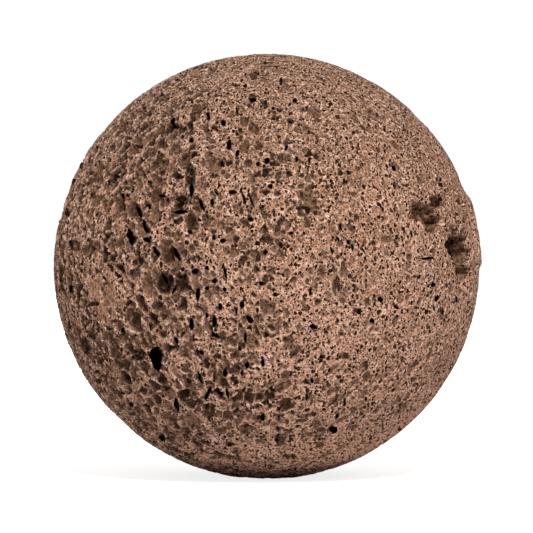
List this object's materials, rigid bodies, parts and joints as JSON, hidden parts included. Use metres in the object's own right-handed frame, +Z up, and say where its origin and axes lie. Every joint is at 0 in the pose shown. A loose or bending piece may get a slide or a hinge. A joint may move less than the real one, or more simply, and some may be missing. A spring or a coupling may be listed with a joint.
{
  "type": "pumice stone ball",
  "caption": "Palm-sized ball ground from brown vesicular lava, open-pored all over, with broken hollows on one side and a small flat foot to rest on.",
  "frame": {"origin": "centre of the worn flat foot that the ball rests on, which is the middle of the bottom of its box", "axes": "+Z up through the ball's centre; -Y faces the viewer, with the broken hollows on the +X side and the coarse vesicles on the -X side"},
  "size_m": [0.08, 0.08, 0.0795],
  "materials": {
    "vesicular_lava": "dry matt vesicular lava, brown with a pink-tan bloom on the ground high spots and near-black open pores"
  },
  "bodies": {
    "root": {"pumice_stone": "vesicular_lava"}
  },
  "joints": []
}
